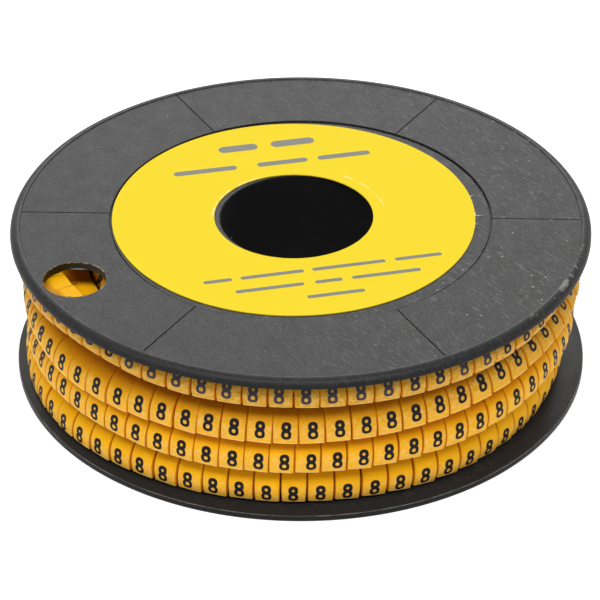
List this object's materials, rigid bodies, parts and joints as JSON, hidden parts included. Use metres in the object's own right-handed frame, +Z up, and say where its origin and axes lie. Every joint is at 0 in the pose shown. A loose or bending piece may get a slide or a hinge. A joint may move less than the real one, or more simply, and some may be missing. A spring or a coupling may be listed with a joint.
{
  "type": "cable marker reel",
  "caption": "Round plastic reel with two flanges, a central bore and a thread hole, wound with a strip of linked slip-on cable markers under a ring label.",
  "frame": {"origin": "on the reel's axis, at the surface that the lower flange lies on", "axes": "+Z up along the reel's axis, out of the labelled flange; the thread hole lies towards -X and -Y"},
  "size_m": [0.098, 0.098, 0.0272],
  "materials": {
    "reel_plastic": "satin, lightly scratched and dusty",
    "label_paper": "smooth",
    "marker_vinyl": "satin"
  },
  "bodies": {
    "root": {"upper_flange": "reel_plastic", "lower_flange": "reel_plastic", "ring_label": "label_paper", "marker_strip": "marker_vinyl"}
  },
  "joints": []
}
